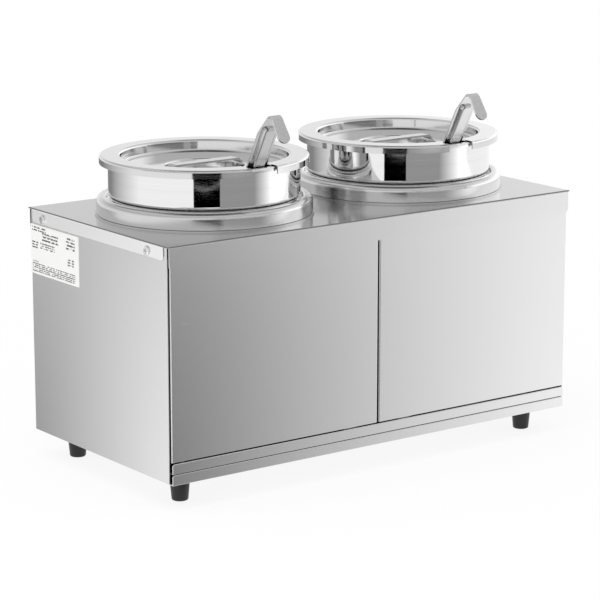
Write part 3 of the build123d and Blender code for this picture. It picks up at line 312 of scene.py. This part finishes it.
# Label: blocks of rules, each with its left, right, top and bottom as shares of the label and how
# many rules it has. A rule takes up a little over half of its row, and its breaks are per metre
RULE_BLOCKS = (
    (0.03, 0.32, 0.04, 0.15, 2),
    (0.24, 0.58, 0.13, 0.32, 3),
    (0.03, 0.16, 0.34, 0.50, 3),
    (0.20, 0.50, 0.34, 0.48, 3),
    (0.74, 0.92, 0.08, 0.34, 4),
    (0.77, 0.90, 0.50, 0.66, 3),
    (0.03, 0.16, 0.735, 0.765, 1),
    (0.03, 0.92, 0.78, 0.97, 5),
)
RULE_SHARE = 0.55
FIBRE_MM = 1.5
BREAKS = (1.0, 420.0, 500.0)


def label_surface():
    """Polyester label: white film with a soft gloss, ruled in grey. The rules are broken every few
    millimetres."""
    material, tree, place = new_surface("polyester_label_ruled")
    (_, rear_low, low_z), (_, rear_high, high_z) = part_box("rating_label")
    split = add(tree, "ShaderNodeSeparateXYZ", {"Vector": place})
    across = add(tree, "ShaderNodeMapRange", {
        "Value": split.outputs["Y"], "From Min": rear_high, "From Max": rear_low,
    })
    down = add(tree, "ShaderNodeMapRange", {
        "Value": split.outputs["Z"], "From Min": high_z, "From Max": low_z,
    })
    ink = None
    for left, right, top, bottom, count in RULE_BLOCKS:
        in_width = add(tree, "ShaderNodeMath", {
            0: across, 1: (left + right) / 2, 2: (right - left) / 2,
        }, operation="COMPARE")
        in_height = add(tree, "ShaderNodeMath", {
            0: down, 1: (top + bottom) / 2, 2: (bottom - top) / 2,
        }, operation="COMPARE")
        row = add(tree, "ShaderNodeMapRange", {
            "Value": down, "From Min": top, "From Max": bottom, "To Max": float(count),
        }, clamp=False)
        part = add(tree, "ShaderNodeMath", {0: row}, operation="FRACT")
        rule = add(tree, "ShaderNodeMath", {0: part, 1: RULE_SHARE}, operation="LESS_THAN")
        block = add(tree, "ShaderNodeMath", {0: in_width, 1: in_height}, operation="MULTIPLY")
        block = add(tree, "ShaderNodeMath", {0: block, 1: rule}, operation="MULTIPLY")
        ink = add(tree, "ShaderNodeMath", {0: ink, 1: block}, operation="MAXIMUM") if ink else block
    fibre = add(tree, "ShaderNodeTexNoise", {"Vector": place, "Scale": 1000 / FIBRE_MM, "Detail": 3.0})
    runs = add(tree, "ShaderNodeMapping", {"Vector": place, "Scale": BREAKS})
    runs = add(tree, "ShaderNodeTexNoise", {"Vector": runs, "Scale": 1.0, "Detail": 0.0})
    runs = add(tree, "ShaderNodeMapRange", {"Value": runs, "From Min": 0.36, "From Max": 0.48})
    strength = add(tree, "ShaderNodeMath", {0: ink, 1: runs}, operation="MULTIPLY")
    colour = add(tree, "ShaderNodeMix", {
        "Factor": strength, 6: linear("#F6F6F4"), 7: linear("#565656"),
    }, data_type="RGBA")
    uneven = add(tree, "ShaderNodeMapRange", {
        "Value": fibre, "From Min": 0.3, "From Max": 0.7, "To Min": 0.38, "To Max": 0.5,
    })
    finish_surface(tree, Base_Color=colour.outputs[2], Roughness=uneven)
    return material


# Finishes of the record's slots, and of the few nodes that differ from the rest of their slot
finishes = {
    "satin_sheet": sheet_steel,
    "spun_collar": spun_steel,
    "drawn_well": drawn_steel,
    "polished_steel": mirror_steel,
    "ladle_steel": tumbled,
    "foot_rubber": rubber,
    "screw_steel": headed,
    "label_film": label_surface(),
    "heater_casting": cast,
    "plated_clamp": zinc,
    "mineral_wool": wool,
    "thermostat_case": phenolic,
    "copper_tube": copper,
    "brass_stud": brass,
    "knob_plastic": knob_abs,
    "dial_plate": anodised,
    "switch_plastic": nylon,
    "rocker_plastic": rocker_gloss,
    "lamp_lens": lamp_surface(),
    "gland_nylon": nylon,
    "terminal_plastic": porcelain,
    "wire_insulation": braid,
}
for entry in frame["record"]["subparts"]:
    mesh = nodes[entry["node"]].data
    mesh.materials.clear()
    mesh.materials.append(finishes[entry["material_slot"]])
nodes["top_deck"].data.materials[0] = deck_steel
for side in SIDES:
    nodes[f"lid_{side}"].data.materials[0] = lid_steel
    nodes[f"lid_strap_{side}"].data.materials[0] = tumbled


# Small pieces that the CAD model leaves out

def keep_piece(piece, name, body, material):
    """Name a finished piece, put its place into its mesh, and tie it to its body."""
    bpy.ops.object.select_all(action="DESELECT")
    piece.select_set(True)
    bpy.context.view_layer.objects.active = piece
    bpy.ops.object.transform_apply(location=True, rotation=True, scale=True)
    bpy.ops.object.shade_smooth_by_angle(angle=math.radians(35))
    piece.name = name
    piece.data.name = name
    piece.data.materials.clear()
    piece.data.materials.append(material)
    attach(piece, body)


def copy_of(piece):
    """A copy with its own mesh."""
    made = piece.copy()
    made.data = piece.data.copy()
    scene.collection.objects.link(made)
    return made


def round_bar(length, width, depth):
    """A flat bar with round ends, upright in Z about the origin, its face towards +Y."""
    bpy.ops.object.select_all(action="DESELECT")
    bpy.ops.mesh.primitive_cylinder_add(
        vertices=24, radius=width / 2, depth=depth, rotation=(math.radians(90), math.radians(7.5), 0)
    )
    bar = bpy.context.object
    bpy.ops.object.transform_apply(location=True, rotation=True, scale=True)
    bpy.ops.object.mode_set(mode="EDIT")
    for end in (1, -1):
        bpy.ops.mesh.select_all(action="DESELECT")
        bpy.ops.object.mode_set(mode="OBJECT")
        for vertex in bar.data.vertices:
            vertex.select = vertex.co.z * end > 0
        bpy.ops.object.mode_set(mode="EDIT")
        bpy.ops.transform.translate(value=(0, 0, end * (length - width) / 2))
    bpy.ops.object.mode_set(mode="OBJECT")
    return bar


def flat_ring(outer, inner, depth):
    """A flat ring about the origin, its face towards +Y."""
    bpy.ops.object.select_all(action="DESELECT")
    bpy.ops.mesh.primitive_circle_add(vertices=40, radius=outer, rotation=(math.radians(90), 0, 0))
    ring = bpy.context.object
    bpy.ops.object.transform_apply(location=True, rotation=True, scale=True)
    bpy.ops.object.mode_set(mode="EDIT")
    bpy.ops.mesh.select_all(action="SELECT")
    bpy.ops.mesh.extrude_edges_move()
    bpy.ops.transform.resize(value=(inner / outer, 1, inner / outer))
    bpy.ops.mesh.select_all(action="SELECT")
    bpy.ops.mesh.extrude_region_move(TRANSFORM_OT_translate={"value": (0, depth, 0)})
    bpy.ops.mesh.select_all(action="SELECT")
    bpy.ops.mesh.normals_make_consistent(inside=False)
    bpy.ops.object.mode_set(mode="OBJECT")
    return ring


def joined(parts):
    """Several meshes made one."""
    bpy.ops.object.select_all(action="DESELECT")
    for part in parts:
        part.select_set(True)
    bpy.context.view_layer.objects.active = parts[0]
    bpy.ops.object.transform_apply(location=True, rotation=True, scale=True)
    bpy.ops.object.join()
    return parts[0]


# Dial scale: ten ticks from the knob's rest round to its stop, and a plain number by each after
# the first
TICKS = 10
TICK_STEP = math.radians(30)
TICK_R = 0.0191
TICK_L = 0.0016
TICK_W = 0.0005
TICK_T = 0.0001
NUMBER_R = 0.0219
NUMBER_H = 0.0034
for side in SIDES:
    dial_low, dial_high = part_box(f"dial_{side}")
    middle = (dial_low + dial_high) / 2
    first = round_bar(TICK_L, TICK_W, TICK_T)
    marks = []
    for step in range(TICKS):
        angle = step * TICK_STEP
        tick = copy_of(first) if step else first
        tick.rotation_euler = (0, -angle, 0)
        tick_x = middle.x - TICK_R * math.sin(angle)
        tick_z = middle.z + TICK_R * math.cos(angle)
        tick.location = (tick_x, dial_high.y, tick_z)
        marks.append(tick)
    for step in range(1, TICKS):
        angle = step * TICK_STEP
        bpy.ops.object.select_all(action="DESELECT")
        bpy.ops.object.text_add(rotation=(math.radians(90), 0, math.radians(180)))
        number = bpy.context.object
        number.data.body = str(step)
        number.data.size = NUMBER_H
        number.data.extrude = TICK_T / 2
        number.data.align_x = "CENTER"
        number.data.align_y = "CENTER"
        bpy.ops.object.convert(target="MESH")
        number_x = middle.x - NUMBER_R * math.sin(angle)
        number_z = middle.z + NUMBER_R * math.cos(angle)
        number.location = (number_x, dial_high.y, number_z)
        marks.append(number)
    keep_piece(joined(marks), f"dial_scale_{side}", "housing", black_ink)

# Pointer: white paint laid in the knob's groove
POINTER_L = 0.0086
POINTER_W = 0.0015
POINTER_T = 0.0005
POINTER_UP = 0.0087
POINTER_SINK = 0.00035
for side in SIDES:
    knob_low, knob_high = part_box(f"knob_{side}")
    middle = (knob_low + knob_high) / 2
    pointer = round_bar(POINTER_L, POINTER_W, POINTER_T)
    pointer.location = (middle.x, knob_high.y - POINTER_SINK, middle.z + POINTER_UP)
    keep_piece(pointer, f"pointer_{side}", f"knob_{side}", white_paint)

# Rocker marks: a bar on the upper half and a ring on the pressed lower half. The two faces rise by
# 9 degrees from a crease 4.2 mm out from the pivot, and the rocker rests tipped by as much again, so
# its lower face stands upright and its upper one leans out by twice that
PIVOT_Y = 0.106 + WELL_Y
PIVOT_Z = 0.074
CREASE = 0.0042
TIP = math.radians(9)
MARK_T = 0.0002
BAR_L = 0.0046
BAR_W = 0.0009
BAR_UP = 0.0058
RING_R = 0.0024
RING_BORE = 0.0016
RING_DOWN = 0.0056
crease_y = PIVOT_Y + CREASE * math.cos(TIP)
crease_z = PIVOT_Z - CREASE * math.sin(TIP)
for side in SIDES:
    rocker_low, rocker_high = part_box(f"rocker_{side}")
    rocker_x = (rocker_low.x + rocker_high.x) / 2
    bar = round_bar(BAR_L, BAR_W, MARK_T)
    bar.rotation_euler = (-2 * TIP, 0, 0)
    bar_y = crease_y + BAR_UP * math.sin(2 * TIP)
    bar_z = crease_z + BAR_UP * math.cos(2 * TIP)
    bar.location = (rocker_x, bar_y, bar_z)
    ring = flat_ring(RING_R, RING_BORE, MARK_T)
    ring.location = (rocker_x, crease_y - MARK_T / 2, crease_z - RING_DOWN)
    marks = joined([bar, ring])
    keep_piece(marks, f"rocker_marks_{side}", f"rocker_{side}", white_paint)

# Spot welds that hold the strap: shallow dimples with a raised lip, one on each tab
WELD_R = 0.0014
WELD_BORE = 0.0009
WELD_T = 0.00012
WELD_IN = 0.0022
WELD_UP = 0.00148
for side in SIDES:
    strap_low, strap_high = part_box(f"lid_strap_{side}")
    spots = []
    for tab_x in (strap_low.x + WELD_IN, strap_high.x - WELD_IN):
        spot = flat_ring(WELD_R, WELD_BORE, WELD_T)
        spot.rotation_euler = (math.radians(90), 0, 0)
        spot.location = (tab_x, (strap_low.y + strap_high.y) / 2, strap_low.z + WELD_UP)
        spots.append(spot)
    keep_piece(joined(spots), f"strap_welds_{side}", f"lid_{side}", headed)


# Stage: a pale floor, and cards that only the metal sees

def floor_surface():
    """White floor: white to the eye and in the metal, with the object's soft shadow left in."""
    material, tree, place = new_surface("floor_white")
    path = add(tree, "ShaderNodeLightPath")
    seen = path.outputs["Is Camera Ray"]
    for kind in ("Is Glossy Ray", "Is Transmission Ray"):
        seen = add(tree, "ShaderNodeMath", {0: seen, 1: path.outputs[kind]}, operation="MAXIMUM")
    away = add(tree, "ShaderNodeVectorMath", {0: place}, operation="LENGTH").outputs["Value"]
    share = add(tree, "ShaderNodeMapRange", {
        "Value": away, "From Min": 0.35, "From Max": 0.9, "To Min": 0.86, "To Max": 1.0,
    }, interpolation_type="SMOOTHSTEP")
    share = add(tree, "ShaderNodeMath", {0: seen, 1: share}, operation="MULTIPLY")
    paper = add(tree, "ShaderNodeBsdfDiffuse", {"Color": linear("#F8F8F8")})
    glow = add(tree, "ShaderNodeEmission", {"Color": (1.0, 1.0, 1.0, 1.0), "Strength": 1.0})
    mixed = add(tree, "ShaderNodeMixShader", {0: share, 1: paper, 2: glow})
    add(tree, "ShaderNodeOutputMaterial", {"Surface": mixed})
    return material


bpy.ops.object.select_all(action="DESELECT")
bpy.ops.mesh.primitive_plane_add(size=24.0, location=(0, 0, -0.0002))
floor = bpy.context.object
floor.name = "floor"
floor.data.materials.append(floor_surface())


def standing(left, right, bottom, top):
    """Corners of an upright card over the line between two points of the floor."""
    return [left + (bottom,), right + (bottom,), right + (top,), left + (top,)]


def lying(x_range, y_range, height):
    """Corners of a level card."""
    (x0, x1), (y0, y1) = x_range, y_range
    return [(x0, y0, height), (x1, y0, height), (x1, y1, height), (x0, y1, height)]


def card(name, corners, low, high, hub=(0.0, 0.0), start=0.0, end=1.0):
    """A card that shows only in the metal. Its brightness runs from low to high as the bearing from
    a hub on the floor goes from one value to another."""
    bpy.ops.object.select_all(action="DESELECT")
    bpy.ops.mesh.primitive_plane_add(size=1.0)
    made = bpy.context.object
    made.name = name
    for vertex, corner in zip(made.data.vertices, (corners[0], corners[1], corners[3], corners[2])):
        vertex.co = corner
    material, tree, place = new_surface(name)
    split = add(tree, "ShaderNodeSeparateXYZ", {"Vector": place})
    east = add(tree, "ShaderNodeMath", {0: split.outputs["X"], 1: hub[0]}, operation="SUBTRACT")
    north = add(tree, "ShaderNodeMath", {0: split.outputs["Y"], 1: hub[1]}, operation="SUBTRACT")
    bearing = add(tree, "ShaderNodeMath", {0: north, 1: east}, operation="ARCTAN2")
    bright = add(tree, "ShaderNodeMapRange", {
        "Value": bearing, "From Min": start, "From Max": end, "To Min": low, "To Max": high,
    })
    glow = add(tree, "ShaderNodeEmission", {"Strength": bright})
    add(tree, "ShaderNodeOutputMaterial", {"Surface": glow})
    made.data.materials.append(material)
    made.visible_camera = False
    made.visible_diffuse = False
    made.visible_transmission = False
    made.visible_shadow = False


def bearing_from(hub, x, y):
    """The bearing of a point from a hub."""
    return math.atan2(y - hub[1], x - hub[0])


# The eye, and its mirror images in the front and in the left side, about which the reflections of
# those faces fan out
EYE = (-1.3312, -1.80507, 0.6389)
front_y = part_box("front_panel_left")[0].y
front_hub = (EYE[0], 2 * front_y - EYE[1])
side_hub = (2 * deck_low.x - EYE[0], EYE[1])
well_hub = (-WELL_X, WELL_Y)
front_left = bearing_from(front_hub, deck_low.x, front_y)
front_right = bearing_from(front_hub, deck_high.x, front_y)
side_front = bearing_from(side_hub, deck_low.x, front_y)
side_rear = bearing_from(side_hub, deck_low.x, deck_high.y)

# Black flag that stands between the pots and the camera, with a slit across it, and a grey wall
# to its right, brighter to the right
FLAG_LEFT = (-0.774, -0.634)
FLAG_RIGHT = (-0.380, -0.903)
WALL_RIGHT = (1.4, -0.905)
SLIT = (0.1075, 0.1085)
FLAG_TOP = 0.18
WALL_TOP = 0.138
card("flag_low", standing(FLAG_LEFT, FLAG_RIGHT, 0.0, SLIT[0]), 0.0, 0.0)
card("flag_high", standing(FLAG_LEFT, FLAG_RIGHT, SLIT[1], FLAG_TOP), 0.0, 0.0)
card(
    "grey_wall", standing(FLAG_RIGHT, WALL_RIGHT, 0.0, WALL_TOP),
    0.32, 1.25, front_hub, front_left, front_right,
)
# Dark card to the right of the camera, which shades the left of the lids' inner walls
card("dark_card", standing((-0.80, -1.50), (1.50, -1.20), 0.25, 0.42), 0.2, 0.2)
# Floor cards. The one in front is darker to the left, and the one on the left side is darker to the
# rear. So is the one behind on the left, which shades the pots' left edges
card(
    "front_floor", lying((-0.32, 1.4), (-0.118, -0.9), 0.001),
    0.27, 1.2, front_hub, front_left, front_right,
)
card(
    "side_floor", lying((-0.225, -1.1), (-0.3, 0.86), 0.001),
    1.08, 0.40, side_hub, side_front, side_rear,
)
card("rear_floor", lying((-2.0, 0.6), (0.45, 1.9), 0.0005), 1.0, 0.25, well_hub, 2.7, 1.6)

# Light: a pale room, which in the metal has a softer band higher up, a dark ceiling and a brighter
# right side, and a large soft lamp to the left
ROOM_LEVELS = ((0.15, 0.95), (0.5, 0.55), (0.8, 0.75), (0.9, 0.6), (0.97, 0.08))
ROOM_LIGHT = 0.85
world = bpy.data.worlds.new("studio")
scene.world = world
world.use_nodes = True
sky = world.node_tree
sky.nodes.clear()
path = add(sky, "ShaderNodeLightPath")
direction = add(sky, "ShaderNodeTexCoord").outputs["Generated"]
heading = add(sky, "ShaderNodeSeparateXYZ", {"Vector": direction})
dome = add(sky, "ShaderNodeValToRGB", {"Fac": heading.outputs["Z"]})
for height, _ in ROOM_LEVELS[1:-1]:
    dome.color_ramp.elements.new(height)
for step, (height, level) in zip(dome.color_ramp.elements, ROOM_LEVELS):
    step.position = height
    step.color = (level, level, level, 1.0)
gain = add(sky, "ShaderNodeMapRange", {
    "Value": heading.outputs["X"], "From Min": 0.60, "From Max": 0.86, "To Min": 1.0, "To Max": 1.7,
})
mirrored = add(sky, "ShaderNodeMath", {0: dome, 1: gain}, operation="MULTIPLY")
strength = add(sky, "ShaderNodeMix", {
    "Factor": path.outputs["Is Glossy Ray"], 2: ROOM_LIGHT, 3: mirrored,
}, data_type="FLOAT")
room = add(sky, "ShaderNodeBackground", {"Color": (1.0, 1.0, 1.0, 1.0), "Strength": strength})
add(sky, "ShaderNodeOutputWorld", {"Surface": room})

lamp = bpy.data.lights.new("soft_lamp", "AREA")
lamp.shape = "RECTANGLE"
lamp.size = 1.6
lamp.size_y = 1.6
lamp.energy = 14.0
lamp_object = bpy.data.objects.new("soft_lamp", lamp)
lamp_object.location = (-0.6, -0.4, 1.9)
lamp_object.rotation_euler = (math.radians(-12), math.radians(-17), 0)
lamp_object.visible_glossy = False
scene.collection.objects.link(lamp_object)

# Camera at the photograph's place
LOOK_DOWN = 12.788
LOOK_RIGHT = 36.379
camera = bpy.data.cameras.new("camera")
camera.sensor_width = 36.0
camera.lens = 154.84
camera.clip_end = 50.0
camera_object = bpy.data.objects.new("camera", camera)
camera_object.location = EYE
camera_object.rotation_euler = (math.radians(90 - LOOK_DOWN), 0, math.radians(-LOOK_RIGHT))
scene.collection.objects.link(camera_object)
scene.camera = camera_object
